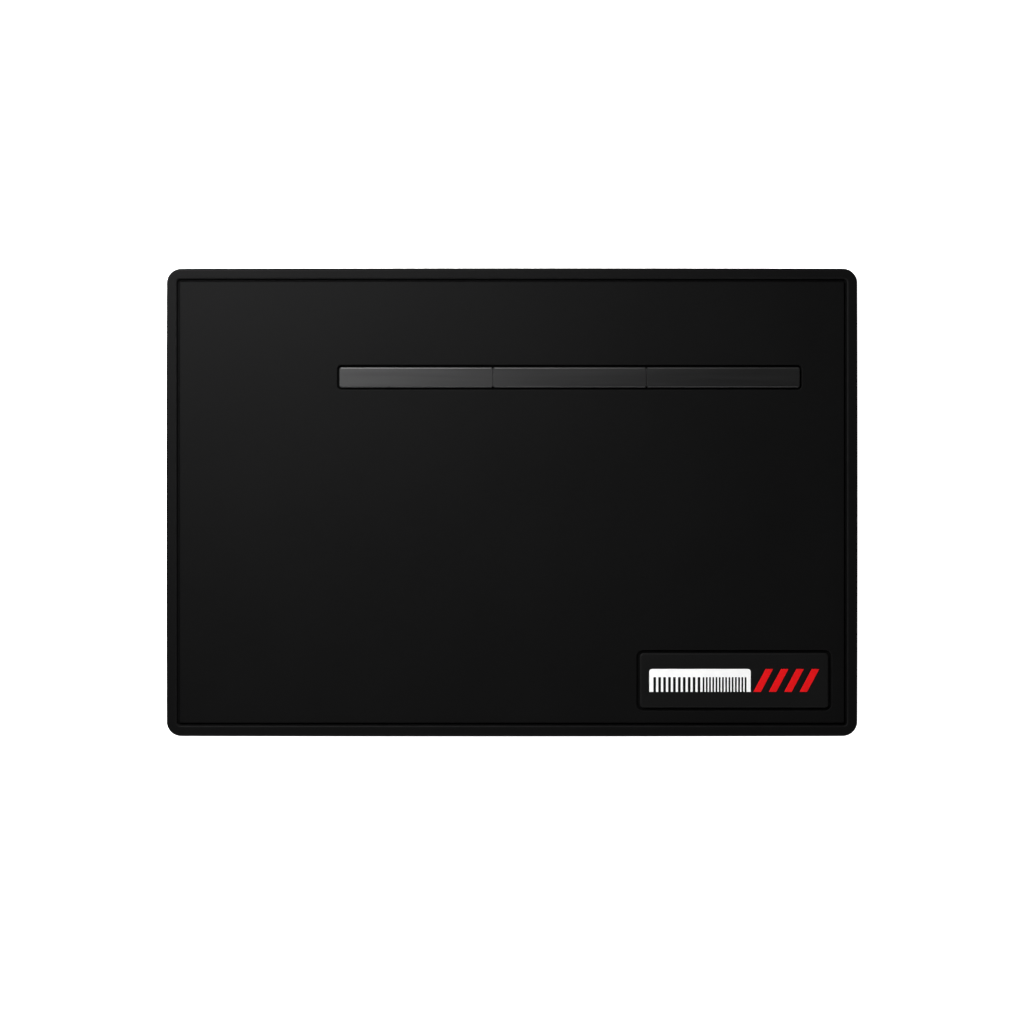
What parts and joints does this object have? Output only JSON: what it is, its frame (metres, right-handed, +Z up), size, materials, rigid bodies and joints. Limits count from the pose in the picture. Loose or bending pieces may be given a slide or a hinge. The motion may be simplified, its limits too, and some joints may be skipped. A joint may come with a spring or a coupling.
{
  "type": "magnetic tool mat",
  "caption": "Flat rectangular rubber station mat with a raised rim, a row of bar magnets set in a slot to hold tools, and an inlaid badge.",
  "frame": {"origin": "centre of the mat's bounding box on the surface that the mat lies on", "axes": "+X along the mat to the right, +Y to the back edge, where the magnets are, +Z up out of the field"},
  "size_m": [0.45, 0.305, 0.0064],
  "materials": {
    "mat_rubber": "matt black moulded rubber with a fine spark-eroded grain",
    "magnet_plating": "dark grey plating, satin, brushed lengthwise",
    "bonding_tape": "double-sided acrylic tape",
    "badge_rubber": "matt black soft PVC",
    "inlay_white": "white soft PVC",
    "inlay_red": "red soft PVC"
  },
  "bodies": {
    "root": {"mat_body": "mat_rubber", "magnet_left": "magnet_plating", "magnet_middle": "magnet_plating", "magnet_right": "magnet_plating", "magnet_tape_left": "bonding_tape", "magnet_tape_middle": "bonding_tape", "magnet_tape_right": "bonding_tape", "badge_plate": "badge_rubber", "badge_tape": "bonding_tape", "badge_comb_inlay": "inlay_white", "badge_stripe_1": "inlay_red", "badge_stripe_2": "inlay_red", "badge_stripe_3": "inlay_red", "badge_stripe_4": "inlay_red"}
  },
  "joints": []
}
